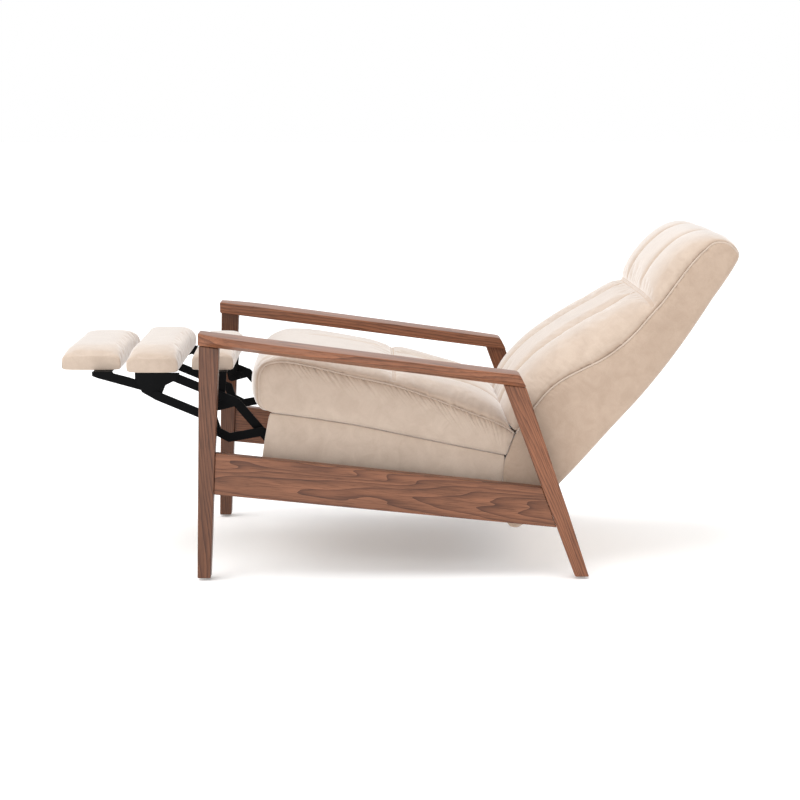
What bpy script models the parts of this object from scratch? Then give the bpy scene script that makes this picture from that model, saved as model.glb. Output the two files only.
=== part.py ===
"""Recliner armchair: a timber frame, a tilting seat, a reclining back and a three-pad footrest
that folds away under the seat.  Metres, +Z up, front of the chair towards -Y.

The chair is drawn in its reclined pose, with the footrest out.  Side shapes are written as
(depth, height): depth is measured back from the toe of the front legs, height from the floor.
"""

import math

import bmesh
import bpy
from mathutils import Vector

# ---------------------------------------------------------------- driving dimensions
TOE_Y = -0.4674             # where depth 0 lies, so that the origin is under the middle of the box
GAP = 0.0003                # between pieces that touch
LEG_OUT = 0.360             # outer face of the legs, from the centre plane
LEG_IN = 0.320
ARM_IN = 0.300
ARM_FRONT = (0.010, 0.584)  # top front edge of the arm
ARM_SLOPE = 0.131           # the arm's fall per metre of depth
ARM_THICK = 0.0285
ARM_LIP = 0.015             # upright part of the arm's outer face
RAIL_OUT = 0.356
RAIL_IN = 0.328
GLIDE_RADIUS = 0.010
GLIDE_HIGH = 0.005
SEAT_HALF = 0.288           # half width of the upholstery
SIDE_IN = 0.262             # inner face of the seat's and back's side boards
SIDE_OUT = 0.2885
LINK_THICK = 0.003
LINK_PITCH = 0.005          # from one link's plane to the next
LINK_HALF = 0.0105          # half width of a link
PIN_RADIUS = 0.0045
HOLE_RADIUS = 0.0048
HEAD_RADIUS = 0.0075
HEAD_HIGH = 0.0014
OPEN_BOSS = 0.0008          # the two links at the open pivot meet boss to boss, clear of each other
PAD_UNDER = 0.4765          # underside of the footrest pads
BOARD_THICK = 0.012

# Pivots of the footrest linkage, as (depth, height).
S1 = (0.203, 0.304)         # crank on the side plate
S2 = (0.207, 0.358)         # upper rear link on the side plate
E1 = (0.043, 0.337)         # crank to lower link
E2 = (0.087, 0.405)         # upper rear link to upper front link: the linkage's open pivot
Q1 = (-0.099, 0.422)        # lower link to ottoman bracket
Q2 = (-0.058, 0.465)        # upper front link to ottoman bracket
H1 = (-0.125, 0.438)        # ottoman bracket to flip arm
N1 = (0.044, 0.394)         # upper rear link to the inner pad's bracket
SEAT_PIVOT = (0.700, 0.215)
BACK_PIVOT = (0.780, 0.335)
LIFT_FRAME = (0.530, 0.2232)
LIFT_SEAT = (0.450, 0.238)
SEAT_PIN_RADIUS = 0.006
BACK_PIN_RADIUS = 0.006
LIFT_PIN_RADIUS = 0.004

# Planes of the links, counted inwards from the side plate.
PLATE_IN = 0.2577
PLATE_OUT = 0.2616
LAYERS = ("crank", "lower", "bracket", "upper_front", "upper_rear", "inner", "flip")

# The back is drawn on its own axes: up the back from its heel, and forward from its rear line.
BACK_HEEL = (0.853, 0.214)
BACK_LEAN = math.radians(52.4)


def layer(name):
    """Inner and outer plane of one layer of links, from the centre plane."""
    outer = PLATE_IN - 0.002 - LINK_PITCH * LAYERS.index(name)
    return outer - LINK_THICK, outer


def world(point, x=0.0):
    return Vector((x, TOE_Y + point[0], point[1]))


def back_point(up, forward):
    """A place on the back's own axes, as (depth, height)."""
    c, s = math.cos(BACK_LEAN), math.sin(BACK_LEAN)
    return (BACK_HEEL[0] + up * c - forward * s, BACK_HEEL[1] + up * s + forward * c)


def rail_top(depth):
    return 0.3065 - 0.1086 * depth


def rail_bottom(depth):
    return 0.2091 - 0.1014 * depth


def arm_top(depth):
    return ARM_FRONT[1] - ARM_SLOPE * (depth - ARM_FRONT[0])


def on_line(a, b, height):
    """The point of the line from a to b at one height."""
    t = (height - a[1]) / (b[1] - a[1])
    return (a[0] + (b[0] - a[0]) * t, height)


# ---------------------------------------------------------------- scene and materials
for old in list(bpy.data.objects):
    bpy.data.objects.remove(old, do_unlink=True)


def material(name, colour, roughness, metallic=0.0):
    made = bpy.data.materials.new(name)
    made.use_nodes = True
    shader = made.node_tree.nodes["Principled BSDF"]
    shader.inputs["Base Color"].default_value = (*colour, 1.0)
    shader.inputs["Roughness"].default_value = roughness
    shader.inputs["Metallic"].default_value = metallic
    return made


WALNUT = material("walnut", (0.24, 0.115, 0.07), 0.45)
VELVET = material("velvet", (0.78, 0.68, 0.56), 0.9)
BLACK_STEEL = material("black_steel", (0.012, 0.012, 0.013), 0.4, 0.3)
SPRING_STEEL = material("spring_steel", (0.30, 0.30, 0.31), 0.35, 1.0)
PLYWOOD = material("plywood", (0.55, 0.42, 0.28), 0.7)
GLIDE_PLASTIC = material("glide_plastic", (0.75, 0.74, 0.71), 0.5)
WEBBING = material("webbing", (0.10, 0.10, 0.11), 0.85)

BODIES = {}


def body(name, parent=None, pivot=(0.0, 0.0)):
    """An empty on a body's joint axis, which the body's pieces and further bodies hang from."""
    empty = bpy.data.objects.new("body_" + name, None)
    bpy.context.scene.collection.objects.link(empty)
    place = world(pivot) if parent else Vector()
    if parent:
        empty.parent = BODIES[parent][0]
        empty.location = place - BODIES[parent][1]
    BODIES[name] = (empty, place)


body("frame")
body("seat", "frame", SEAT_PIVOT)
body("back", "seat", BACK_PIVOT)
body("lift_links", "frame", LIFT_FRAME)
body("crank", "seat", S1)
body("lower_link", "crank", E1)
body("ottoman", "lower_link", Q1)
body("flip", "ottoman", H1)
body("upper_front", "ottoman", Q2)
body("upper_rear", "seat", S2)
body("inner_pad", "upper_rear", N1)


def new_object(name, bm, look, smooth_angle=35.0):
    """Turns a bmesh drawn in world coordinates into an object."""
    bmesh.ops.recalc_face_normals(bm, faces=bm.faces)
    mesh = bpy.data.meshes.new(name)
    bm.to_mesh(mesh)
    bm.free()
    mesh.materials.append(look)
    mesh.shade_smooth()
    mesh.set_sharp_from_angle(angle=math.radians(smooth_angle))
    made = bpy.data.objects.new(name, mesh)
    bpy.context.scene.collection.objects.link(made)
    return made


def hang(piece, name):
    """Parents a piece to its body's empty and keeps it where it is."""
    empty, place = BODIES[name]
    piece.parent = empty
    piece.location = -place
    return piece


# ---------------------------------------------------------------- shapes
def prism_mesh(outline, x0, x1):
    """A side outline carried from x0 to x1."""
    bm = bmesh.new()
    first = [bm.verts.new(world(p, x0)) for p in outline]
    last = [bm.verts.new(world(p, x1)) for p in outline]
    count = len(outline)
    for i in range(count):
        j = (i + 1) % count
        bm.faces.new((first[i], first[j], last[j], last[i]))
    bm.faces.new(first)
    bm.faces.new(list(reversed(last)))
    return bm


def prism(name, outline, x0, x1, look, bevel=0.0, segments=1):
    made = new_object(name, prism_mesh(outline, x0, x1), look)
    if bevel:
        soften(made, bevel, segments)
    return made


def soften(piece, width, segments=1, sharper_than=40):
    """Rounds the edges that turn by more than an angle in degrees."""
    edge = piece.modifiers.new("softened_edges", "BEVEL")
    edge.width = width
    edge.segments = segments
    edge.limit_method = "ANGLE"
    edge.angle_limit = math.radians(sharper_than)


def box_mesh(low, high):
    bm = bmesh.new()
    bmesh.ops.create_cube(bm, size=1.0)
    for v in bm.verts:
        for axis in range(3):
            v.co[axis] = low[axis] if v.co[axis] < 0 else high[axis]
    return bm


def box(name, low, high, look, bevel=0.0):
    made = new_object(name, box_mesh(low, high), look)
    if bevel:
        soften(made, bevel)
    return made


def rod_mesh(point, x0, x1, radius, sides=16):
    """A cylinder along X at one (depth, height)."""
    outline = []
    for i in range(sides):
        angle = 2 * math.pi * (i + 0.5) / sides
        outline.append((point[0] + radius * math.cos(angle), point[1] + radius * math.sin(angle)))
    return prism_mesh(outline, x0, x1)


def combine(piece, bm, operation):
    """Unites a piece with another closed shape, or cuts that shape out of it."""
    other = new_object("tool", bm, piece.data.materials[0])
    step = piece.modifiers.new("combine", "BOOLEAN")
    step.operation = operation
    step.solver = "EXACT"
    step.object = other
    bpy.context.view_layer.update()
    result = bpy.data.meshes.new_from_object(
        piece.evaluated_get(bpy.context.evaluated_depsgraph_get()))
    piece.modifiers.clear()
    result.name = piece.name
    piece.data = result
    bpy.data.objects.remove(other, do_unlink=True)
    return piece


def arc(centre, radius, start, end, steps):
    """Points along a round stretch; the angles are in degrees, from the depth axis to the height axis."""
    points = []
    for i in range(steps + 1):
        angle = math.radians(start + (end - start) * i / steps)
        points.append((centre[0] + radius * math.cos(angle), centre[1] + radius * math.sin(angle)))
    return points


def strip(points, half, steps=6):
    """The outline of a bar with round ends that runs through two or more points."""
    places = [Vector(p) for p in points]

    def side(order):
        out = []
        for i, p in enumerate(order):
            before = (p - order[i - 1]).normalized() if i else None
            after = (order[i + 1] - p).normalized() if i + 1 < len(order) else None
            if before is None:
                continue
            if after is None:
                heading = math.degrees(math.atan2(before.y, before.x))
                out += arc(p, half, heading - 90, heading + 90, steps)
            else:
                middle = (before + after).normalized()
                out.append(tuple(p + Vector((middle.y, -middle.x)) * half / middle.dot(after)))
        return out

    return side(places) + side(list(reversed(places)))


def smooth_through(knots, t):
    """A smooth value between knots (t, value), for a bulge with few driving points."""
    for (t0, v0), (t1, v1) in zip(knots, knots[1:]):
        if t <= t1:
            break
    k = knots.index((t0, v0))
    before = knots[max(k - 1, 0)]
    after = knots[min(k + 2, len(knots) - 1)]
    slope0 = (v1 - before[1]) / (t1 - before[0])
    slope1 = (after[1] - v0) / (after[0] - t0)
    span = t1 - t0
    s = (t - t0) / span
    return ((2 * s**3 - 3 * s**2 + 1) * v0 + (s**3 - 2 * s**2 + s) * span * slope0
            + (3 * s**2 - 2 * s**3) * v1 + (s**3 - s**2) * span * slope1)


SIDES = (("left", 1), ("right", -1))


# ---------------------------------------------------------------- timber frame
FRONT_LEG = ((0.013, 0.60), (0.0, 0.0), (0.060, 0.60), (0.031, 0.0))    # front line, rear line
REAR_LEG_FRONT = ((0.715, 0.464), (0.8875, GLIDE_HIGH))
REAR_LEG_REAR = ((0.767, 0.457), (0.920, GLIDE_HIGH))


def arm_under(depth):
    return arm_top(depth) - ARM_THICK


def front_leg(name, sign):
    foot = GLIDE_HIGH + GAP
    front, front_foot, rear, rear_foot = FRONT_LEG
    top_front = (front[0] - 0.0008, arm_under(front[0]) - GAP)
    top_rear = (rear[0] - 0.002, arm_under(rear[0]) - GAP)
    outline = [top_front, (front_foot[0], foot), (rear_foot[0], foot), top_rear]
    prism("front_leg_" + name, outline, sign * LEG_IN, sign * LEG_OUT, WALNUT, 0.0025, 2)


def rear_leg(name, sign):
    foot = GLIDE_HIGH + GAP
    top_front = (REAR_LEG_FRONT[0][0], arm_under(REAR_LEG_FRONT[0][0]) - GAP)
    top_rear = (REAR_LEG_REAR[0][0], arm_under(REAR_LEG_REAR[0][0]) - GAP)
    knee = (0.868, 0.1635)
    outline = [top_front, (REAR_LEG_FRONT[1][0], foot), (REAR_LEG_REAR[1][0], foot), knee, top_rear]
    prism("rear_leg_" + name, outline, sign * LEG_IN, sign * LEG_OUT, WALNUT, 0.0025, 2)


def arm(name, sign):
    """A paddle: straight inside, bulging outside, its lower edge undercut back to the legs."""
    rear_end = 0.757
    bulge = [(0.0, 0.0), (0.13, 0.036), (0.5, 0.034), (0.875, 0.023), (1.0, 0.010)]
    stations = 18
    bm = bmesh.new()
    rings = []
    for i in range(stations + 1):
        t = i / stations
        out = LEG_OUT + smooth_through(bulge, t)
        top = ARM_FRONT[0] + t * (rear_end - ARM_FRONT[0])
        end_cut = 0.010 * max(0.0, (t - 0.93) / 0.07)
        low = top + end_cut
        low_z = arm_under(low)
        high_z = arm_top(top)
        edge = 0.0022
        drop = 0.010 * max(0.0, (t - 0.96) / 0.04) ** 2
        section = [
            (ARM_IN + edge, low, low_z), (LEG_OUT, low, low_z),
            (out, (low + top) / 2, max(high_z - ARM_LIP, low_z + 0.006)),
            (out, top, high_z - edge - drop), (out - edge, top, high_z - drop),
            (ARM_IN + edge, top, high_z - drop), (ARM_IN, top, high_z - edge - drop),
            (ARM_IN, low, low_z + edge)]
        rings.append([bm.verts.new(world((d, z), sign * x)) for x, d, z in section])
    for a, b in zip(rings, rings[1:]):
        for i in range(len(a)):
            j = (i + 1) % len(a)
            bm.faces.new((a[i], a[j], b[j], b[i]))
    bm.faces.new(rings[0])
    bm.faces.new(list(reversed(rings[-1])))
    new_object("arm_" + name, bm, WALNUT, 50)


def side_rail(name, sign):
    front_rear_line = (FRONT_LEG[2][0] - 0.002, 0.556), (FRONT_LEG[3][0], GLIDE_HIGH)
    top_front = on_line(*front_rear_line, rail_top(0.046))
    low_front = on_line(*front_rear_line, rail_bottom(0.041))
    top_rear = on_line(*REAR_LEG_FRONT, rail_top(0.808))
    low_rear = on_line(*REAR_LEG_FRONT, rail_bottom(0.843))
    clear = 0.0006
    outline = [
        (top_front[0] + clear, top_front[1]), (low_front[0] + clear, low_front[1]),
        (low_rear[0] - clear, low_rear[1]), (top_rear[0] - clear, top_rear[1])]
    rail = prism("side_rail_" + name, outline, sign * RAIL_IN, sign * RAIL_OUT, WALNUT)
    socket_depth = 0.010
    for point, radius in ((SEAT_PIVOT, SEAT_PIN_RADIUS), (LIFT_FRAME, LIFT_PIN_RADIUS)):
        socket = rod_mesh(point, sign * (RAIL_IN - 0.01), sign * (RAIL_IN + socket_depth), radius + GAP)
        combine(rail, socket, "DIFFERENCE")
    soften(rail, 0.002)


def cross_rail(name, depth, low, high, half):
    box(name, world((depth[0], low), -half), world((depth[1], high), half), WALNUT, 0.002)


def base_angle(name, sign):
    """Steel angle inside the side rail; its foot shows just under the rail."""
    start, end = 0.135, 0.537
    under, tall, thick = 0.004, 0.055, 0.003
    foot_in = 0.300

    def band(low, high):
        return [(start, rail_bottom(start) + low), (end, rail_bottom(end) + low),
                (end, rail_bottom(end) + high), (start, rail_bottom(start) + high)]

    upright = prism_mesh(band(-under, tall), sign * (RAIL_IN - GAP - thick), sign * (RAIL_IN - GAP))
    angle = new_object("base_angle_" + name, upright, BLACK_STEEL)
    foot = prism_mesh(band(-under, thick - under), sign * foot_in, sign * (RAIL_IN - GAP - thick / 2))
    combine(angle, foot, "UNION")


def glide(name, depth, sign):
    middle = (LEG_IN + LEG_OUT) / 2
    bm = bmesh.new()
    bmesh.ops.create_cone(bm, cap_ends=True, segments=20, radius1=GLIDE_RADIUS,
                          radius2=GLIDE_RADIUS * 0.85, depth=GLIDE_HIGH)
    for v in bm.verts:
        v.co += world((depth, GLIDE_HIGH / 2), sign * middle)
    new_object("glide_" + name, bm, GLIDE_PLASTIC)


for side_name, side_sign in SIDES:
    arm(side_name, side_sign)
    front_leg(side_name, side_sign)
    rear_leg(side_name, side_sign)
    side_rail(side_name, side_sign)
    base_angle(side_name, side_sign)
    glide("front_" + side_name, 0.0155, side_sign)
    glide("rear_" + side_name, 0.9037, side_sign)
    pin = rod_mesh(SEAT_PIVOT, side_sign * (SIDE_IN + 0.004), side_sign * (RAIL_IN + 0.009), SEAT_PIN_RADIUS)
    new_object("seat_pivot_pin_" + side_name, pin, SPRING_STEEL)
cross_rail("front_cross_rail", (0.440, 0.462), 0.1640, 0.197, RAIL_IN - 0.0038)
cross_rail("rear_cross_rail", (0.680, 0.702), 0.142, 0.186, RAIL_IN - GAP)
FRAME_PIECES = [o.name for o in bpy.data.objects if o.type == "MESH"]
for piece_name in FRAME_PIECES:
    hang(bpy.data.objects[piece_name], "frame")


# ---------------------------------------------------------------- seat
FRONT_RAIL_TOP = 0.400
SPRING_FRONT = (0.236, 0.3985)
SPRING_REAR = (0.700, 0.2890)
SPRING_WIRE = 0.0019


def seat_side(name, sign):
    outline = [
        (0.172, 0.3835), (0.153, 0.262), (0.640, 0.201), (0.718, 0.197), (0.737, 0.279), (0.700, 0.2865)]
    board = prism("seat_side_" + name, outline, sign * SIDE_IN, sign * SIDE_OUT, VELVET)
    for point, radius in ((SEAT_PIVOT, SEAT_PIN_RADIUS + GAP), (LIFT_SEAT, LIFT_PIN_RADIUS + 0.003)):
        hole = rod_mesh(point, sign * (SIDE_IN - 0.01), sign * (SIDE_OUT + 0.01), radius)
        combine(board, hole, "DIFFERENCE")
    hang(board, "seat")


def cushion(name, outline, half, rounding, look, body_name, segments=2):
    """A plain closed solid for a soft part, with softened edges."""
    made = prism(name, outline, -half, half, look)
    soften(made, rounding, segments, 60)
    return hang(made, body_name)


def zigzag_spring(name, middle, start, end, swing, waves, body_name):
    """A flat serpentine spring: one wire that snakes from rail to rail."""
    curve = bpy.data.curves.new(name, "CURVE")
    curve.dimensions = "3D"
    curve.bevel_depth = SPRING_WIRE
    curve.bevel_resolution = 1
    curve.use_fill_caps = True
    line = curve.splines.new("POLY")
    steps = waves * 6
    line.points.add(steps)
    for i in range(steps + 1):
        t = i / steps
        x = middle + swing * math.sin(2 * math.pi * waves * t)
        place = (start[0] + (end[0] - start[0]) * t, start[1] + (end[1] - start[1]) * t)
        line.points[i].co = (*world(place, x), 1.0)
    curve.materials.append(SPRING_STEEL)
    made = bpy.data.objects.new(name, curve)
    bpy.context.scene.collection.objects.link(made)
    hang(made, body_name)


for side_name, side_sign in SIDES:
    seat_side(side_name, side_sign)
front_rail = box("seat_front_rail", world((0.172, 0.388), -PLATE_OUT),
                 world((0.232, FRONT_RAIL_TOP), PLATE_OUT), PLYWOOD)
hang(front_rail, "seat")
hang(box("seat_rear_rail", world((0.688, 0.236), -0.2572), world((0.710, 0.2835), 0.2572), PLYWOOD), "seat")
SEAT_SHAPE = [
    (0.150, 0.4040), (0.141, 0.425), (0.141, 0.489), (0.153, 0.513), (0.180, 0.529), (0.235, 0.534),
    (0.330, 0.522), (0.460, 0.489), (0.600, 0.449), (0.680, 0.417), (0.712, 0.385), (0.727, 0.340),
    (0.733, 0.294), (0.242, 0.4040)]
cushion("seat_cushion", SEAT_SHAPE, SEAT_HALF, 0.012, VELVET, "seat")
for number, spot in enumerate((-0.15, 0.0, 0.15)):
    zigzag_spring(f"seat_spring_{number + 1}", spot, SPRING_FRONT, SPRING_REAR, 0.026, 8, "seat")


def pinned(link, point, from_x, to_x, sign):
    """Adds a rivet that starts in the link at from_x and ends with a head past to_x."""
    direction = 1 if to_x > from_x else -1
    combine(link, rod_mesh(point, sign * from_x, sign * (to_x + direction * HEAD_HIGH), PIN_RADIUS), "UNION")
    start = to_x + direction * GAP
    head = rod_mesh(point, sign * start, sign * (start + direction * HEAD_HIGH), HEAD_RADIUS)
    combine(link, head, "UNION")


def holed(link, point, sign, radius=HOLE_RADIUS):
    """Cuts a running hole through a link."""
    combine(link, rod_mesh(point, sign * 0.20, sign * 0.30, radius), "DIFFERENCE")


def boss(link, point, face, high, sign):
    """A flat boss on one face of a link: half of the linkage's open pivot."""
    combine(link, rod_mesh(point, sign * (face - high), sign * (face + high), HEAD_RADIUS), "UNION")


def plate_link(name, outline, planes, sign):
    return new_object(name, prism_mesh(outline, sign * planes[0], sign * planes[1]), BLACK_STEEL)


def side_plate(name, sign):
    outline = strip([S2, S1], 0.014, 8)
    plate = plate_link("side_plate_" + name, outline, (PLATE_IN, PLATE_OUT), sign)
    arm_back = prism_mesh(strip([S1, (0.445, 0.300)], 0.012), sign * PLATE_IN, sign * PLATE_OUT)
    combine(plate, arm_back, "UNION")
    inner_face = (PLATE_IN + PLATE_OUT) / 2
    pinned(plate, S1, inner_face, layer("crank")[0], sign)
    pinned(plate, S2, inner_face, layer("upper_rear")[0], sign)
    hang(plate, "seat")


def hinge_plate(name, sign):
    outline = strip([(0.680, 0.262), (0.745, 0.266), BACK_PIVOT], 0.013)
    plate = plate_link("hinge_plate_" + name, outline, (PLATE_IN, PLATE_OUT), sign)
    combine(plate, rod_mesh(BACK_PIVOT, sign * PLATE_IN, sign * (SIDE_OUT - 0.006), BACK_PIN_RADIUS), "UNION")
    hang(plate, "seat")


for side_name, side_sign in SIDES:
    side_plate(side_name, side_sign)
    hinge_plate(side_name, side_sign)
TUBE = rod_mesh((0.440, 0.300), -(PLATE_IN - GAP), PLATE_IN - GAP, 0.009, 20)
hang(new_object("mechanism_cross_tube", TUBE, BLACK_STEEL), "seat")


# ---------------------------------------------------------------- lift links
def lift_link(name, sign):
    inner, outer = 0.2925, 0.2955
    link = plate_link("lift_link_" + name, strip([LIFT_FRAME, LIFT_SEAT], 0.008), (inner, outer), sign)
    middle = (inner + outer) / 2
    combine(link, rod_mesh(LIFT_FRAME, sign * middle, sign * (RAIL_IN + 0.009), LIFT_PIN_RADIUS), "UNION")
    combine(link, rod_mesh(LIFT_SEAT, sign * middle, sign * (SIDE_IN + 0.008), LIFT_PIN_RADIUS), "UNION")
    hang(link, "lift_links")


# ---------------------------------------------------------------- footrest linkage
def crank(name, sign):
    dog_leg = [E1, (0.072, 0.322), (0.150, 0.336), S1]
    link = plate_link("crank_" + name, strip(dog_leg, LINK_HALF), layer("crank"), sign)
    holed(link, S1, sign)
    pinned(link, E1, sum(layer("crank")) / 2, layer("lower")[0], sign)
    hang(link, "crank")


def lower_link(name, sign):
    link = plate_link("lower_link_" + name, strip([E1, (0.034, 0.366), Q1], LINK_HALF), layer("lower"), sign)
    holed(link, E1, sign)
    pinned(link, Q1, sum(layer("lower")) / 2, layer("bracket")[0], sign)
    hang(link, "lower_link")


def upper_rear_link(name, sign):
    outline = strip([S2, (0.160, 0.318), E2, N1], LINK_HALF)
    link = plate_link("upper_rear_link_" + name, outline, layer("upper_rear"), sign)
    holed(link, S2, sign)
    boss(link, E2, layer("upper_rear")[1], OPEN_BOSS, sign)
    pinned(link, N1, sum(layer("upper_rear")) / 2, layer("inner")[0], sign)
    hang(link, "upper_rear")


def upper_front_link(name, sign):
    link = plate_link("upper_front_link_" + name, strip([Q2, E2], LINK_HALF), layer("upper_front"), sign)
    boss(link, E2, layer("upper_front")[0], -OPEN_BOSS, sign)
    pinned(link, Q2, sum(layer("upper_front")) / 2, layer("bracket")[1], sign)
    hang(link, "upper_front")


def flanged(name, outline, planes, flange, flange_in, sign):
    """A bracket plate with a flange that turns inwards under its pad."""
    plate = plate_link(name, outline, planes, sign)
    high = PAD_UNDER - GAP
    low = high - LINK_THICK
    edge = [(flange[0], low), (flange[1], low), (flange[1], high), (flange[0], high)]
    combine(plate, prism_mesh(edge, sign * flange_in, sign * (sum(planes) / 2)), "UNION")
    return plate


def ottoman_bracket(name, sign):
    top = PAD_UNDER - GAP
    outline = [
        (-0.150, top), (-0.150, 0.458), *arc(H1, 0.012, 190, 250, 3), *arc(Q1, 0.011, 235, 360, 5),
        (-0.078, 0.446), *arc(Q2, 0.010, 260, 350, 3), (-0.044, top)]
    plate = flanged("ottoman_bracket_" + name, outline, layer("bracket"), (-0.150, -0.098), 0.195, sign)
    holed(plate, Q1, sign)
    holed(plate, Q2, sign)
    pinned(plate, H1, sum(layer("bracket")) / 2, layer("flip")[0], sign)
    hang(plate, "ottoman")


def flip_arm(name, sign):
    top = PAD_UNDER - GAP
    outline = [(-0.254, top), (-0.254, 0.4655), (-0.240, 0.4600), *arc(H1, 0.010, 245, 425, 8),
               (-0.165, 0.462), (-0.203, 0.472), (-0.206, top)]
    plate = flanged("flip_arm_" + name, outline, layer("flip"), (-0.252, -0.208), 0.165, sign)
    holed(plate, H1, sign)
    hang(plate, "flip")


def inner_bracket(name, sign):
    top = PAD_UNDER - GAP
    outline = [(0.010, top), (0.028, 0.430), *arc(N1, 0.010, 180, 360, 6), (0.062, 0.430), (0.066, top)]
    plate = flanged("inner_pad_bracket_" + name, outline, layer("inner"), (0.046, 0.066), 0.160, sign)
    holed(plate, N1, sign)
    hang(plate, "inner_pad")


def footrest_pad(name, front, rear, half, body_name):
    """A pad, with the board that it is stapled to let into its underside."""
    crown, edge = PAD_UNDER + 0.048, PAD_UNDER + 0.032
    third = (rear - front) / 4
    outline = [
        (front, PAD_UNDER + 0.006), (front + 0.006, PAD_UNDER), (rear - 0.006, PAD_UNDER),
        (rear, PAD_UNDER + 0.006), (rear, edge - 0.004), (rear - 0.008, edge + 0.004), (rear - third, crown),
        (front + third, crown), (front + 0.008, edge + 0.004), (front, edge - 0.004)]
    pad = cushion("footrest_pad_" + name, outline, half, 0.005, VELVET, body_name, 1)
    ends = (front + 0.012, rear - 0.012)
    board_half = half - 0.012
    board = box("footrest_board_" + name, world((ends[0], PAD_UNDER), -board_half),
                world((ends[1], PAD_UNDER + BOARD_THICK), board_half), PLYWOOD)
    hang(board, body_name)
    recess = box_mesh(world((ends[0] - GAP, PAD_UNDER - 0.01), -board_half - GAP),
                      world((ends[1] + GAP, PAD_UNDER + BOARD_THICK + GAP), board_half + GAP))
    combine(pad, recess, "DIFFERENCE")


for side_name, side_sign in SIDES:
    lift_link(side_name, side_sign)
    crank(side_name, side_sign)
    lower_link(side_name, side_sign)
    upper_rear_link(side_name, side_sign)
    upper_front_link(side_name, side_sign)
    ottoman_bracket(side_name, side_sign)
    flip_arm(side_name, side_sign)
    inner_bracket(side_name, side_sign)
footrest_pad("outer", -0.330, -0.189, 0.200, "flip")
footrest_pad("middle", -0.170, -0.048, 0.2465, "ottoman")
footrest_pad("inner", -0.020, 0.080, 0.205, "inner_pad")


# ---------------------------------------------------------------- back
BACK_REAR = [(0.0, 0.0), (0.085, -0.007), (0.175, -0.014), (0.284, -0.022), (0.372, -0.024), (0.466, -0.020),
             (0.550, -0.012), (0.624, -0.007), (0.660, -0.002)]     # up the back, forward
FRAME_LINE = [
    (0.664, 0.022), (0.652, 0.035), (0.400, 0.035), (0.300, 0.055), (0.200, 0.100), (0.110, 0.112)]
CUSHION_FRONT = [
    (0.104, 0.150), (0.122, 0.186), (0.160, 0.203), (0.205, 0.200), (0.260, 0.185), (0.320, 0.164),
    (0.380, 0.142), (0.440, 0.122), (0.478, 0.110), (0.530, 0.115), (0.600, 0.113), (0.640, 0.104),
    (0.668, 0.086), (0.684, 0.050), (0.687, 0.014), (0.679, 0.000)]
TAIL = [(0.731, 0.122), (0.738, 0.1105), (0.752, 0.108), (0.763, 0.114)]
TAIL_TOP = (0.748, 0.350)


def back_side(name, sign):
    outline = TAIL + [back_point(*p) for p in BACK_REAR + FRAME_LINE] + [TAIL_TOP]
    board = prism("back_side_" + name, outline, sign * SIDE_IN, sign * SIDE_OUT, VELVET)
    hole = rod_mesh(BACK_PIVOT, sign * (SIDE_IN - 0.01), sign * (SIDE_OUT + 0.01), BACK_PIN_RADIUS + GAP)
    combine(board, hole, "DIFFERENCE")
    hang(board, "back")


def back_bar(name, corner_a, corner_b, half, look, rounding=0.0):
    """A crosswise member of the back, square to the back's own axes."""
    (u0, v0), (u1, v1) = corner_a, corner_b
    outline = [back_point(u0, v0), back_point(u1, v0), back_point(u1, v1), back_point(u0, v1)]
    return hang(prism(name, outline, -half, half, look, rounding), "back")


def back_panel():
    """The thin board that closes the back behind, between the side boards."""
    thick = 0.006
    inset = 0.001
    rear = [(u, v + inset) for u, v in BACK_REAR]
    front = [(u, v + thick) for u, v in reversed(BACK_REAR)]
    outline = [back_point(*p) for p in rear + front]
    hang(prism("back_panel", outline, -PLATE_OUT, PLATE_OUT, VELVET), "back")


for side_name, side_sign in SIDES:
    back_side(side_name, side_sign)
back_panel()
back_bar("back_top_rail", (0.630, 0.006), (0.654, 0.030), PLATE_OUT, PLYWOOD)
bottom_rail = box("back_bottom_rail", world((0.748, 0.135), -PLATE_OUT),
                  world((0.768, 0.190), PLATE_OUT), PLYWOOD)
hang(bottom_rail, "back")
back_bar("back_webbing", (0.400, 0.0315), (0.520, 0.0343), 0.255, WEBBING)
CLEAR = 0.0005
CUSHION_LINE = [(0.6645, 0.0)] + [(u + CLEAR, v + CLEAR) for u, v in FRAME_LINE]
CUSHION_SHAPE = [back_point(*p) for p in CUSHION_LINE + CUSHION_FRONT]
cushion("back_cushion", CUSHION_SHAPE, SEAT_HALF, 0.010, VELVET, "back")
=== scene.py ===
"""The finished looks of the recliner armchair: sewn upholstery, walnut and black steel.

Side shapes are written as in the chair's own drawing: (depth, height) with depth measured back
from the toe of the front legs, and (up, forward) on the leaning back's own axes.
"""

import math

import bpy
import numpy as np
from mathutils import Matrix, Vector, noise

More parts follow.
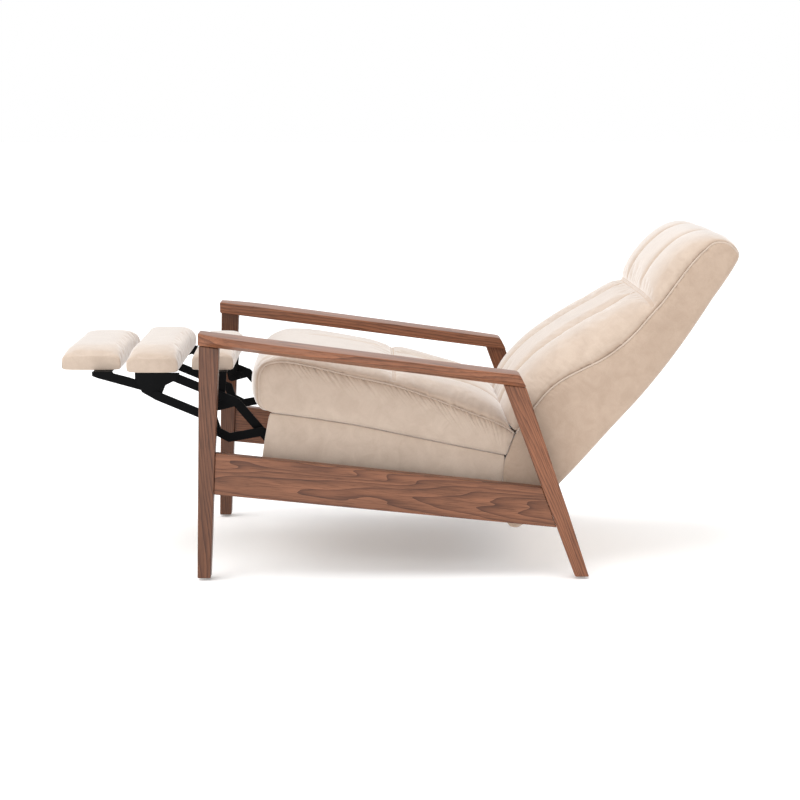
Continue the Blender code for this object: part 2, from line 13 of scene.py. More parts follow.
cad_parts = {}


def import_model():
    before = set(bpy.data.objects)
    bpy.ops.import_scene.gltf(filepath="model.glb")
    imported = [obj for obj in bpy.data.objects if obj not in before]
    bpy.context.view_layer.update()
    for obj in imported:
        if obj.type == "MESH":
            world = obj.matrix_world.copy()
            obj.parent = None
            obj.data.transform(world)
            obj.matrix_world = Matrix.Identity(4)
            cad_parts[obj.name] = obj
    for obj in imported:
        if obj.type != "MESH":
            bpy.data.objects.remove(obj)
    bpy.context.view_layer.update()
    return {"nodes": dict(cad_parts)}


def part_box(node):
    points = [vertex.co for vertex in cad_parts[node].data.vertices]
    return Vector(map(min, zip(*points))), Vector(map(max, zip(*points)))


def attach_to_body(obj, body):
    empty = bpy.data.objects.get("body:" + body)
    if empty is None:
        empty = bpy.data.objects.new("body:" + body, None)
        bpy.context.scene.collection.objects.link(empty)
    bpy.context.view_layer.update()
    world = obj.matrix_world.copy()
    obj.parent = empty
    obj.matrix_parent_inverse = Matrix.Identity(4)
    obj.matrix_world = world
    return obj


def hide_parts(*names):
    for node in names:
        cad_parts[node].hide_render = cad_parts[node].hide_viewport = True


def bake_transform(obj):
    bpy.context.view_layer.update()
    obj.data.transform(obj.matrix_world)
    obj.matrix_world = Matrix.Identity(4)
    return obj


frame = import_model()

# ---------------------------------------------------------------- places
GLIDE_DEPTH = 0.0155        # middle of the front glides, back from the toe of the legs
TOE_Y = sum(corner.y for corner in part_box("glide_front_left")) / 2 - GLIDE_DEPTH
BACK_HEEL = (0.853, 0.214)
BACK_LEAN = math.radians(52.4)
WELT_X = 0.285              # the welts run this far from the centre plane
INNER_X = 0.258             # the cushions' hidden sides
CHANNEL_X = 0.115           # the two long seams of the seat and the back
PANEL_X = 0.2865            # the padded side panels' outer faces, at their edges
PANEL_INNER_X = 0.2622      # and their hidden sides
SIDES = (("left", 1), ("right", -1))


def world(point, x=0.0):
    return Vector((x, TOE_Y + point[0], point[1]))


def back_point(up, forward):
    """A place on the back's own axes, as (depth, height)."""
    c, s = math.cos(BACK_LEAN), math.sin(BACK_LEAN)
    return (BACK_HEEL[0] + up * c - forward * s, BACK_HEEL[1] + up * s + forward * c)


# ---------------------------------------------------------------- camera, light and floor
CAMERA_TURN = math.radians(0.93)        # from square-on to the chair's side
CAMERA_DIP = math.radians(9.19)         # looking down by this much
CAMERA_AT = ((0.405, 1.126), 4.674)     # (depth, height), then the distance from the centre plane
CAMERA_LENS = 85.05
SUN_FROM = Vector((0.22, -0.45, 1.0))
SUN_SPREAD = math.radians(50)
FILL_AT = Vector((3.0, -0.6, 0.35))     # a soft light low on the chair's left
FILL_TOWARDS = Vector((0, -0.15, 0.3))
FLOOR_REACH = 40.0
FLOOR_DROP = 0.0005                     # the floor lies this far under the glides


def build_stage():
    scene = bpy.context.scene
    scene.view_settings.view_transform = "Standard"
    turn, dip = CAMERA_TURN, CAMERA_DIP
    ahead = Vector((
        -math.cos(dip) * math.cos(turn), math.cos(dip) * math.sin(turn), -math.sin(dip)))
    right = Vector((math.sin(turn), math.cos(turn), 0))
    above = right.cross(ahead)
    camera = bpy.data.objects.new("camera", bpy.data.cameras.new("camera"))
    camera.data.lens = CAMERA_LENS
    camera.data.sensor_width = 36
    camera.data.clip_end = 60
    turned = Matrix((right, above, -ahead)).transposed().to_4x4()
    camera.matrix_world = Matrix.Translation(world(*CAMERA_AT)) @ turned
    scene.collection.objects.link(camera)
    scene.camera = camera

    sky = bpy.data.worlds.new("studio")
    sky.use_nodes = True
    sky.node_tree.nodes["Background"].inputs["Color"].default_value = (1.0, 1.0, 1.0, 1)
    sky.node_tree.nodes["Background"].inputs["Strength"].default_value = 1.0
    scene.world = sky

    sun = bpy.data.objects.new("sun", bpy.data.lights.new("sun", "SUN"))
    sun.data.energy = 1.7
    sun.data.angle = SUN_SPREAD
    sun.rotation_euler = SUN_FROM.to_track_quat("Z", "Y").to_euler()
    scene.collection.objects.link(sun)

    fill = bpy.data.objects.new("low_fill", bpy.data.lights.new("low_fill", "AREA"))
    fill.data.size = 1.2
    fill.data.energy = 9
    fill.location = FILL_AT
    fill.rotation_euler = (FILL_AT - FILL_TOWARDS).to_track_quat("Z", "Y").to_euler()
    scene.collection.objects.link(fill)

    mesh = bpy.data.meshes.new("floor")
    r = FLOOR_REACH
    mesh.from_pydata([(-r, -r, 0), (r, -r, 0), (r, r, 0), (-r, r, 0)], [], [(0, 1, 2, 3)])
    floor = bpy.data.objects.new("floor", mesh)
    floor.location.z = -FLOOR_DROP
    scene.collection.objects.link(floor)
    coating = bpy.data.materials.new("floor")
    coating.use_nodes = True
    shader = coating.node_tree.nodes["Principled BSDF"]
    shader.inputs["Base Color"].default_value = (0.93, 0.93, 0.93, 1)
    shader.inputs["Roughness"].default_value = 0.9
    shader.inputs["Emission Color"].default_value = (1.0, 1.0, 1.0, 1)
    shader.inputs["Emission Strength"].default_value = 0.15
    mesh.materials.append(coating)


# ---------------------------------------------------------------- materials
class Look:
    """One node-based material, with short names for the nodes that most of them share."""

    def __init__(self, name):
        self.made = bpy.data.materials.new(name)
        self.made.use_nodes = True
        self.tree = self.made.node_tree
        self.shader = self.tree.nodes["Principled BSDF"]
        self.where = self.add("ShaderNodeTexCoord").outputs["Object"]

    def add(self, kind, inputs=(), **options):
        node = self.tree.nodes.new(kind)
        for key, value in options.items():
            setattr(node, key, value)
        for key, value in dict(inputs).items():
            if isinstance(value, bpy.types.NodeSocket):
                self.tree.links.new(value, node.inputs[key])
            else:
                node.inputs[key].default_value = value
        return node

    def noise(self, scale, detail=3.0, rough=0.55, at=None, distortion=0.0):
        return self.add("ShaderNodeTexNoise", {
            "Vector": at or self.where, "Scale": scale, "Detail": detail, "Roughness": rough,
            "Distortion": distortion}).outputs["Fac"]

    def bands(self, scale, direction, distortion=0.0):
        return self.add("ShaderNodeTexWave", {
            "Vector": self.where, "Scale": scale, "Distortion": distortion},
            bands_direction=direction).outputs["Fac"]

    def stretched(self, scale, at=None):
        """Texture places scaled along each axis, so that a pattern runs along one of them."""
        return self.add("ShaderNodeMapping", {
            "Vector": at or self.where, "Scale": scale}).outputs["Vector"]

    def vector_math(self, a, b, operation="ADD"):
        return self.add("ShaderNodeVectorMath", {0: a, 1: b}, operation=operation).outputs[0]

    def spread(self, value, low, high):
        """A value from 0 to 1 turned into one from low to high."""
        return self.add("ShaderNodeMapRange", {
            "Value": value, "To Min": low, "To Max": high}).outputs["Result"]

    def ramp(self, factor, stops):
        node = self.add("ShaderNodeValToRGB", {"Fac": factor})
        band = node.color_ramp
        while len(band.elements) < len(stops):
            band.elements.new(0.5)
        for element, (place, colour) in zip(band.elements, stops):
            element.position = place
            element.color = (*colour, 1)
        return node.outputs["Color"]

    def mix(self, a, b, factor, kind="MIX"):
        node = self.add("ShaderNodeMix", data_type="RGBA", blend_type=kind)
        for socket, value in zip((node.inputs[0], node.inputs[6], node.inputs[7]), (factor, a, b)):
            if isinstance(value, bpy.types.NodeSocket):
                self.tree.links.new(value, socket)
            else:
                socket.default_value = value
        return node.outputs[2]

    def bump(self, height, distance, strength=1.0, under=None):
        inputs = {"Height": height, "Distance": distance, "Strength": strength}
        if under:
            inputs["Normal"] = under
        return self.add("ShaderNodeBump", inputs).outputs["Normal"]

    def finish(self, links, **values):
        for key, value in values.items():
            socket_name = key.replace("_", " ").title().replace("Ior", "IOR")
            self.shader.inputs[socket_name].default_value = value
        for key, socket in links.items():
            self.tree.links.new(socket, self.shader.inputs[key])
        return self.made


def velvet_look():
    """Brushed cream velvet: broad mottling, lighter and darker pile, a fine nap. The mesh's seam
    attribute, from 0 to 1, paints shade into the colour: darker and browner along the welts and
    seams, where shade falls in their creases, and over the back's front and sides."""
    look = Look("cream_velvet")
    cloud = look.noise(5.5, 4, 0.6)
    patch = look.noise(26, 4, 0.65, distortion=0.6)
    nap = look.noise(420, 2, 0.6)
    base = look.ramp(cloud, [(0.30, (0.520, 0.418, 0.338)), (0.70, (0.565, 0.460, 0.376))])
    tint = look.ramp(patch, [(0.32, (0.90, 0.88, 0.865)), (0.66, (1.02, 1.02, 1.02))])
    pile = look.ramp(nap, [(0.30, (0.95, 0.945, 0.94)), (0.70, (1.0, 1.0, 1.0))])
    colour = look.mix(look.mix(base, tint, 1.0, "MULTIPLY"), pile, 1.0, "MULTIPLY")
    # painted shade: where the seam attribute is 1, the colour is multiplied by this brown
    seam = look.add("ShaderNodeAttribute", attribute_name="seam").outputs["Fac"]
    colour = look.mix(colour, look.mix(colour, (0.74, 0.64, 0.56, 1), 1.0, "MULTIPLY"), seam)
    rough = look.spread(patch, 0.82, 0.95)
    normal = look.bump(patch, 0.0007, 0.4, look.bump(nap, 0.0005, 0.5))
    return look.finish({"Base Color": colour, "Roughness": rough, "Normal": normal},
                       sheen_weight=1.0, sheen_roughness=0.45, specular_ior_level=0.3)


def walnut_look(name, slope, pith, rings, seed, tone=1.0):
    """Oiled walnut whose grain runs along a line in the side plane: slope is its angle from the
    floor, pith the place of the tree's middle as (x, depth, height), rings the growth rings'
    density, and tone makes it lighter."""
    look = Look(name)
    turned = look.add("ShaderNodeMapping", {
        "Vector": look.where, "Location": -Vector(world(pith[1:], pith[0]))}).outputs["Vector"]
    turned = look.add("ShaderNodeMapping", {
        "Vector": turned, "Rotation": (-slope, 0.0, 0.035)}).outputs["Vector"]
    shifted = look.add("ShaderNodeMapping", {
        "Vector": turned, "Location": (seed, seed * 1.7, seed * 0.6),
        "Scale": (1.0, 0.10, 1.0)}).outputs["Vector"]
    wander = look.noise(7.0, 3, 0.55, at=shifted)
    sway = look.add("ShaderNodeMath", {0: wander, 1: 0.5}, operation="SUBTRACT").outputs[0]
    sway = look.add("ShaderNodeCombineXYZ", {"X": sway, "Z": sway}).outputs[0]
    path = look.vector_math(turned, look.vector_math(sway, (0.10, 0.10, 0.10), "MULTIPLY"))
    bands = look.add("ShaderNodeTexWave", {
        "Vector": look.stretched((1.0, 0.12, 1.0), path), "Scale": rings, "Distortion": 2.2,
        "Detail": 3.0, "Detail Scale": 0.6, "Detail Roughness": 0.6},
        wave_type="RINGS", rings_direction="Y", wave_profile="SAW").outputs["Fac"]
    fibre = look.noise(520, 3, 0.6, at=look.stretched((1.0, 0.022, 1.0), turned))
    streak = look.noise(55, 3, 0.55, at=look.stretched((1.0, 0.05, 1.0), turned))
    base = look.ramp(bands, [(0.0, (0.225, 0.090, 0.045)), (0.55, (0.185, 0.072, 0.035)),
                             (0.85, (0.135, 0.050, 0.024)), (1.0, (0.085, 0.030, 0.015))])
    shade = look.ramp(streak, [(0.28, (0.74 * tone, 0.72 * tone, 0.70 * tone)),
                               (0.72, (1.16 * tone, 1.15 * tone, 1.14 * tone))])
    pores = look.ramp(fibre, [
        (0.36, (0.52, 0.49, 0.46)), (0.50, (1.0, 1.0, 1.0)), (0.8, (1.08, 1.08, 1.07))])
    colour = look.mix(look.mix(base, shade, 1.0, "MULTIPLY"), pores, 0.75, "MULTIPLY")
    return look.finish({
        "Base Color": colour, "Roughness": look.spread(fibre, 0.46, 0.30),
        "Normal": look.bump(fibre, 0.0003, 0.35)}, specular_ior_level=0.35)


def steel_look(name, colour, roughness, metallic):
    """Painted or bare steel with a faint texture in its gloss and a little dust."""
    look = Look(name)
    speck = look.noise(240, 2, 0.6)
    cloud = look.noise(18, 3, 0.6)
    lighter = tuple(c * 1.4 + 0.0005 for c in colour)
    shade = look.ramp(cloud, [(0.3, colour), (0.7, lighter)])
    return look.finish({
        "Base Color": shade, "Roughness": look.spread(cloud, roughness * 0.85, roughness * 1.2),
        "Normal": look.bump(speck, 0.0002, 0.3)}, metallic=metallic, specular_ior_level=0.05)


def plywood_look():
    """Birch plywood: thin plies through the height, a soft grain along the board."""
    look = Look("birch_plywood")
    grain = look.noise(120, 3, 0.6, at=look.stretched((0.05, 1.0, 1.0)))
    plies = look.bands(105.0, "Z", 0.4)
    face = look.ramp(grain, [(0.3, (0.46, 0.32, 0.19)), (0.7, (0.62, 0.47, 0.31))])
    edge = look.ramp(plies, [(0.35, (0.72, 0.68, 0.62)), (0.65, (1.0, 1.0, 1.0))])
    return look.finish({"Base Color": look.mix(face, edge, 0.6, "MULTIPLY"),
                        "Normal": look.bump(grain, 0.0003, 0.3)}, roughness=0.65)


def webbing_look():
    """Woven elastic strap: ribs one way, threads the other."""
    look = Look("woven_webbing")
    ribs = look.bands(150.0, "X")
    threads = look.bands(260.0, "Y")
    woven = look.add("ShaderNodeMath", {0: ribs, 1: threads}, operation="MULTIPLY").outputs[0]
    shade = look.ramp(woven, [(0.1, (0.02, 0.02, 0.022)), (0.9, (0.085, 0.085, 0.09))])
    relief = look.bump(woven, 0.0006, 0.6)
    return look.finish({"Base Color": shade, "Normal": relief}, roughness=0.85)


def plastic_look():
    look = Look("glide_plastic")
    scuff = look.noise(90, 3, 0.6)
    shade = look.ramp(scuff, [(0.3, (0.62, 0.61, 0.58)), (0.7, (0.76, 0.75, 0.72))])
    relief = look.bump(scuff, 0.0002, 0.3)
    return look.finish({"Base Color": shade, "Normal": relief}, roughness=0.45)


def thread_look():
    look = Look("sewing_thread")
    twist = look.noise(900, 2, 0.5)
    shade = look.ramp(twist, [(0.3, (0.44, 0.31, 0.21)), (0.7, (0.58, 0.43, 0.31))])
    relief = look.bump(twist, 0.0002, 0.5)
    return look.finish({"Base Color": shade, "Normal": relief}, roughness=0.7)


VELVET = velvet_look()
THREAD = thread_look()
PLYWOOD = plywood_look()
WEBBING = webbing_look()
GLIDE_PLASTIC = plastic_look()
BLACK_STEEL = steel_look("black_steel", (0.0025, 0.0025, 0.0028), 0.45, 0.0)
SPRING_STEEL = steel_look("spring_steel", (0.32, 0.32, 0.33), 0.34, 1.0)


# ---------------------------------------------------------------- shapes
def smooth_path(points, count):
    """Places along a smooth curve through the points, in any number of dimensions: count of them
    evenly spaced, or at the shares of its length that count lists."""
    p = np.array(points, float)
    p = np.vstack([2 * p[0] - p[1], p, 2 * p[-1] - p[-2]])
    dense = []
    for a, b, c, d in zip(p, p[1:], p[2:], p[3:]):
        t0 = 0.0
        t1 = t0 + math.sqrt(np.linalg.norm(b - a))
        t2 = t1 + math.sqrt(np.linalg.norm(c - b))
        t3 = t2 + math.sqrt(np.linalg.norm(d - c))
        for t in np.linspace(t1, t2, 24, endpoint=False):
            ab = a + (b - a) * (t - t0) / (t1 - t0)
            bc = b + (c - b) * (t - t1) / (t2 - t1)
            cd = c + (d - c) * (t - t2) / (t3 - t2)
            left = ab + (bc - ab) * (t - t0) / (t2 - t0)
            right = bc + (cd - bc) * (t - t1) / (t3 - t1)
            dense.append(left + (right - left) * (t - t1) / (t2 - t1))
    dense.append(p[-2])
    dense = np.array(dense)
    along = np.concatenate([[0], np.cumsum(np.linalg.norm(np.diff(dense, axis=0), axis=1))])
    wanted = (np.linspace(0, 1, count) if isinstance(count, int) else count) * along[-1]
    return np.stack([np.interp(wanted, along, dense[:, k]) for k in range(dense.shape[1])], 1)


def new_piece(name, vertices, faces, look, smooth_angle=50.0):
    mesh = bpy.data.meshes.new(name)
    mesh.from_pydata([tuple(v) for v in vertices], [], faces)
    mesh.validate()
    mesh.materials.append(look)
    mesh.shade_smooth()
    mesh.set_sharp_from_angle(angle=math.radians(smooth_angle))
    piece = bpy.data.objects.new(name, mesh)
    bpy.context.scene.collection.objects.link(piece)
    return piece


def loft(name, rings, look, smooth_angle=50.0):
    """A closed body through rings of points, with a cap at each end."""
    rings = np.asarray(rings, float)
    count, size = rings.shape[:2]
    faces = []
    for i in range(count - 1):
        for j in range(size):
            k = (j + 1) % size
            faces.append((i * size + j, i * size + k, (i + 1) * size + k, (i + 1) * size + j))
    faces.append(tuple(reversed(range(size))))
    faces.append(tuple(range((count - 1) * size, count * size)))
    points = rings.reshape(-1, 3)
    if signed_volume(points, faces) < 0:
        faces = [tuple(reversed(f)) for f in faces]
    return new_piece(name, points, faces, look, smooth_angle)


def signed_volume(points, faces):
    total = 0.0
    for f in faces:
        for b, c in zip(f[1:], f[2:]):
            total += np.dot(points[f[0]], np.cross(points[b], points[c]))
    return total


def tube(name, points, radius, look, sides=8):
    """A round cord through the points, with drawn-in ends: the welts and the pads' corner seams."""
    points = np.asarray(points, float)
    heading = np.gradient(points, axis=0)
    heading /= np.linalg.norm(heading, axis=1)[:, None]
    rings = []
    out = np.cross(heading[0], (1.0, 0.3, 0.2))
    for i, (p, h) in enumerate(zip(points, heading)):
        out = out - h * np.dot(out, h)
        out /= np.linalg.norm(out)
        across = np.cross(h, out)
        angles = 2 * np.pi * np.arange(sides) / sides
        size = radius * (0.35 if i in (0, len(points) - 1) else 1.0)
        rings.append(p + size * (np.cos(angles)[:, None] * out + np.sin(angles)[:, None] * across))
    return loft(name, rings, look, 80)


def paint_seam_shade(piece, values):
    """Tells the velvet how much painted shade to put at each vertex, from 0 to 1."""
    marks = piece.data.attributes.new("seam", "FLOAT", "POINT")
    marks.data.foreach_set("value", np.asarray(values, np.float32).ravel())


def subdivide(piece):
    finer = piece.modifiers.new("finer", "SUBSURF")
    finer.levels = 1
    finer.render_levels = 1
    return piece


# ---------------------------------------------------------------- sewing
def grid_normals(grid, towards):
    """Unit normals of a grid of points, turned to the side that each row's towards points to."""
    along = np.gradient(grid, axis=0)
    across = np.gradient(grid, axis=1)
    normal = np.cross(along, across)
    normal /= np.linalg.norm(normal, axis=2)[:, :, None] + 1e-12
    middle = grid.shape[1] // 2
    flip = np.sign(np.sum(normal[:, middle] * towards, axis=1))
    return normal * np.where(flip == 0, 1, flip)[:, None, None]


def crowded(places, seams, offsets):
    """Even places, with more of them close to each seam."""
    close = np.array([
        seam + side * offset for seam in seams for side in (-1, 1) for offset in offsets])
    kept = [p for p in places if np.abs(close - p).min() > offsets[1] * 0.8]
    return np.unique(np.concatenate([kept, close]))


def running_length(points):
    steps = np.linalg.norm(np.diff(points, axis=0), axis=1)
    return np.concatenate([[0], np.cumsum(steps)])


def dent(distance, width, deep):
    """How far a seam pulls the cover in, by the distance from it."""
    return deep * np.exp(-(np.abs(distance) / width) ** 0.85)


def folds(run, dist, seed, period=0.014, reach=0.024):
    """Gathers that stand square to a seam and fade with the distance from it."""
    value = np.zeros(run.shape)
    for index in np.ndindex(run.shape):
        if dist[index] < reach * 3.5:
            at = Vector((run[index] / period, dist[index] * 14, seed))
            value[index] = noise.noise(at) + 0.5 * noise.noise(at * 2.1)
    return value * np.exp(-dist / reach)


CLOTH_STEPS = 20


def swelled(piece, held, pressure, growth, cap):
    """Cloth under air pressure: what is held stays, and the slack fabric between it puffs and
    creases, by the cap at most."""
    group = piece.vertex_groups.new(name="held")
    for index in np.flatnonzero(held > 0):
        group.add([int(index)], float(held[index]), "REPLACE")
    before = np.empty(len(piece.data.vertices) * 3, np.float32)
    piece.data.vertices.foreach_get("co", before)
    before = before.reshape(-1, 3)
    cloth = piece.modifiers.new("cloth", "CLOTH")
    fabric = cloth.settings
    fabric.vertex_group_mass = group.name
    fabric.quality = 4
    fabric.mass = 0.25
    fabric.tension_stiffness = 18
    fabric.compression_stiffness = 18
    fabric.shear_stiffness = 6
    fabric.bending_stiffness = 0.4
    fabric.air_damping = 3
    fabric.use_pressure = True
    fabric.uniform_pressure_force = pressure
    fabric.shrink_min = -growth
    fabric.shrink_max = -growth
    fabric.effector_weights.gravity = 0
    cloth.collision_settings.use_collision = False
    scene = bpy.context.scene
    for step in range(1, CLOTH_STEPS + 1):
        scene.frame_set(step)
    shown = piece.evaluated_get(bpy.context.evaluated_depsgraph_get()).data
    after = np.empty_like(before).ravel()
    shown.vertices.foreach_get("co", after)
    move = after.reshape(-1, 3) - before
    length = np.linalg.norm(move, axis=1)
    move *= (np.minimum(length, cap) / np.maximum(length, 1e-9))[:, None]
    piece.modifiers.remove(cloth)
    piece.vertex_groups.clear()
    scene.frame_set(1)
    piece.data.vertices.foreach_set("co", (before + move).astype(np.float32).ravel())
    piece.data.update()


FLAT_SEAM = 0.007           # half the width that the cloth is held over, at a double-stitched seam
LONG_SEAM = 0.0035          # and at a single one
STITCH_PITCH = 0.0062
STITCH_LONG = 0.0044
STITCH_THICK = 0.00045
STITCH_SIDES = 5
STITCH_ASIDE = 0.0034       # the two stitched rows run this far to each side of their seam
STITCH_SECTIONS = ((0.0, 0.3), (0.25, 1.0), (0.75, 1.0), (1.0, 0.3))     # (share, thickness)


def stitches(name, points, lift, body):
    """A row of thread stitches lying along a line on the fabric. lift points away from the fabric
    at each point."""
    points = np.asarray(points, float)
    run = running_length(points)
    vertices, faces = [], []
    sides = STITCH_SIDES
    for start in np.arange(STITCH_PITCH, run[-1] - STITCH_PITCH, STITCH_PITCH):
        ends = [np.array([np.interp(start + s, run, points[:, k]) for k in range(3)])
                for s in (0, STITCH_LONG)]
        heading = (ends[1] - ends[0]) / np.linalg.norm(ends[1] - ends[0])
        out = np.array([np.interp(start, run, lift[:, k]) for k in range(3)])
        out /= np.linalg.norm(out)
        across = np.cross(heading, out)
        base = len(vertices)
        for share, size in STITCH_SECTIONS:
            middle = ends[0] + (ends[1] - ends[0]) * share + out * STITCH_THICK * 0.3
            for k in range(sides):
                angle = 2 * math.pi * k / sides
                around = math.cos(angle) * out + math.sin(angle) * across * 1.6
                vertices.append(middle + STITCH_THICK * size * around)
        for ring in range(3):
            for k in range(sides):
                a, b = base + ring * sides + k, base + ring * sides + (k + 1) % sides
                faces.append((a, b, b + sides, a + sides))
        faces.append(tuple(base + k for k in reversed(range(sides))))
        faces.append(tuple(base + 3 * sides + k for k in range(sides)))
    piece = new_piece(name, vertices, faces, THREAD, 80)
    return attach(piece, body)


def attach(piece, body):
    """A piece rides on one body, or, where body is "hinge", stays on no body with its place baked
    into the mesh.
    """
    if body == "hinge":
        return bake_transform(piece)
    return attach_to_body(piece, body)


CROSS_SEAM_CROWD = np.array([0.0, 0.0012, 0.0026, 0.0044, 0.0070, 0.0100])     # shares of the run
LONG_SEAM_CROWD = np.array([0.0, 0.005, 0.012, 0.021, 0.033, 0.048])           # shares of WELT_X


class Cushion:
    """A boxed cushion's sewn cover: two welts, a crown between them, and seams pulled into it."""

    def __init__(self, sections, rows, columns, seam_depth):
        """Each section is (welt, crest, base), three places in the side plane. The mesh is finer
        close to the long seams and to the crosswise seam, which is at seam_depth on the crest."""
        corners = [np.ravel(s) for s in sections]
        guide = smooth_path(corners, 1500)
        share = np.argmin(np.abs(guide[:, 2] - seam_depth)) / 1499
        places = crowded(np.linspace(0, 1, rows), [share], CROSS_SEAM_CROWD)
        lines = smooth_path(corners, places)
        rows = len(lines)
        self.welt, self.crest, self.base = lines[:, 0:2], lines[:, 2:4], lines[:, 4:6]
        w = np.linspace(-1, 1, columns)
        u = 0.35 * w + 0.65 * np.sin(np.pi / 2 * w)
        seam = CHANNEL_X / WELT_X
        u = crowded(u, [-seam, seam], LONG_SEAM_CROWD)
        rise = (1 - np.abs(u) ** 6) ** 0.5
        plane = self.welt[:, None] + (self.crest - self.welt)[:, None] * rise[None, :, None]
        crown = np.linalg.norm(self.crest - self.welt, axis=1)
        spread = np.clip(crown / 0.03, 0, 1)[:, None] * 0.006 * (4 * rise * (1 - rise))[None, :]
        x = WELT_X * u[None, :] + np.sign(u)[None, :] * spread
        self.grid = np.dstack([x, TOE_Y + plane[:, :, 0], plane[:, :, 1]])
        outwards = self.crest - self.welt
        self.outwards = np.column_stack([np.zeros(rows), outwards])
        self.run = running_length(self.crest)[:, None] + 0 * x
        widths = np.linalg.norm(np.diff(self.grid, axis=1), axis=2)
        from_left = np.concatenate([np.zeros((rows, 1)), np.cumsum(widths, axis=1)], axis=1)
        self.from_welt = np.minimum(from_left, from_left[:, -1:] - from_left)
        self.held = np.zeros(x.shape)
        # painted shade: the colour darkens towards the welts, most at them, fading over about 8 mm
        self.seams = 0.75 * np.exp(-self.from_welt / 0.008)

    @property
    def x(self):
        return self.grid[:, :, 0]

    def run_at(self, depth):
        """How far along the crest the cushion is at one depth."""
        row = int(np.argmin(np.abs(self.crest[:, 0] - depth)))
        return self.run[row, 0]

    def push(self, distance):
        self.grid = self.grid + grid_normals(self.grid, self.outwards) * distance[:, :, None]

    def hold(self, distance, width):
        """Fixes a seam, and paints shade along it."""
        self.held = np.maximum(self.held, (np.abs(distance) < width).astype(float))
        self.seams = np.maximum(self.seams, 0.5 * np.exp(-np.abs(distance) / 0.0030))

    def body(self, name, look):
        """The closed body: the cover, its hidden sides and its underside."""
        inner = np.full(len(self.base), INNER_X)
        base = np.column_stack([inner, TOE_Y + self.base[:, 0], self.base[:, 1]])
        left = base * (-1, 1, 1)
        low = (base + left) / 2
        rings = np.concatenate([left[:, None], self.grid, base[:, None], low[:, None]], axis=1)
        piece = loft(name, rings, look)
        held = np.ones(rings.shape[:2])
        held[1:-1, 2:-3] = self.held[1:-1, 1:-1]
        seams = np.zeros(rings.shape[:2])
        seams[:, 1:-2] = self.seams
        paint_seam_shade(piece, seams)
        self.columns = rings.shape[1]
        return piece, held.ravel()

    def read_back(self, piece):
        """Takes the cover's places from the finished mesh, so that the thread lies on it."""
        co = np.empty(len(piece.data.vertices) * 3, np.float32)
        piece.data.vertices.foreach_get("co", co)
        co = co.reshape(-1, self.columns, 3).astype(float)
        self.grid = co[:, 1:-2]

    def row_line(self, run):
        """Points and normals along a crosswise seam."""
        row = int(np.argmin(np.abs(self.run[:, 0] - run)))
        normals = grid_normals(self.grid, self.outwards)
        return self.grid[row, 2:-2], normals[row, 2:-2]


def welt_cord(name, line, sign, body, radius=0.0021, x=WELT_X + 0.0012):
    points = [world(p, sign * x) for p in line]
    cord = tube(name, points, radius, VELVET)
    attach(cord, body)
    return cord


def finish_cushion(cushion, piece, body, node):
    cushion.read_back(piece)
    subdivide(piece)
    attach(piece, body)
    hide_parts(node)


# ---------------------------------------------------------------- seat
SEAT_WELT = [
    (0.171, 0.392), (0.156, 0.397), (0.147, 0.412), (0.145, 0.445), (0.147, 0.477), (0.158, 0.497),
    (0.177, 0.505), (0.205, 0.507), (0.272, 0.495), (0.368, 0.472), (0.464, 0.450), (0.563, 0.416),
    (0.645, 0.384), (0.700, 0.363), (0.731, 0.347), (0.747, 0.335)]
SEAT_CREST = [
    (0.172, 0.385), (0.148, 0.388), (0.130, 0.408), (0.125, 0.442), (0.129, 0.480), (0.145, 0.507),
    (0.172, 0.516), (0.208, 0.521), (0.272, 0.517), (0.368, 0.502), (0.464, 0.483), (0.570, 0.453),
    (0.655, 0.428), (0.704, 0.401), (0.730, 0.372), (0.742, 0.338)]
SEAT_BASE = [
    (0.180, 0.404), (0.182, 0.405), (0.184, 0.406), (0.186, 0.407), (0.190, 0.408), (0.200, 0.408),
    (0.210, 0.407), (0.225, 0.406), (0.272, 0.398), (0.368, 0.377), (0.464, 0.355), (0.563, 0.333),
    (0.645, 0.314), (0.690, 0.304), (0.715, 0.300), (0.728, 0.300)]
CROSS_SEAM = 0.464


def seat_cushion():
    seat = Cushion(list(zip(SEAT_WELT, SEAT_CREST, SEAT_BASE)), 228, 104, CROSS_SEAM)
    cross = seat.run_at(CROSS_SEAM)
    behind = np.clip((seat.run - cross) / 0.012, 0, 1)
    channel = np.abs(seat.x) - CHANNEL_X
    from_cross = seat.run - cross
    band = np.maximum(np.abs(from_cross) - 0.003, 0)
    hollow = np.maximum(dent(band, 0.011, 0.0065), behind * dent(channel, 0.012, 0.009))
    tight = np.interp(seat.run, [0, 0.10, 0.16, 0.30, 0.45, 0.60, 0.72],
                      [0.0010, 0.0016, 0.0032, 0.0024, 0.0032, 0.0044, 0.0036])
    seat.push(-hollow * np.clip(seat.from_welt / 0.014, 0, 1))
    seat.push(tight * folds(seat.run, seat.from_welt, seed=3.0))
    seat.push(0.0005 * folds(seat.x, np.abs(from_cross), 14.0, period=0.018, reach=0.016))
    seat.push(0.0004 * behind * folds(seat.run, np.abs(channel), 17.0, period=0.018, reach=0.016))
    seat.hold(from_cross, FLAT_SEAM)
    seat.hold(np.where(from_cross > 0, channel, 1.0), LONG_SEAM)
    piece, held = seat.body("seat_cushion_cover", VELVET)
    swelled(piece, held, pressure=0.5, growth=0.007, cap=0.004)
    finish_cushion(seat, piece, "seat", "seat_cushion")
    for number, offset in enumerate((-STITCH_ASIDE, STITCH_ASIDE)):
        line, lift = seat.row_line(cross + offset)
        stitches(f"seat_cross_stitch_{number + 1}", line, lift, "seat")


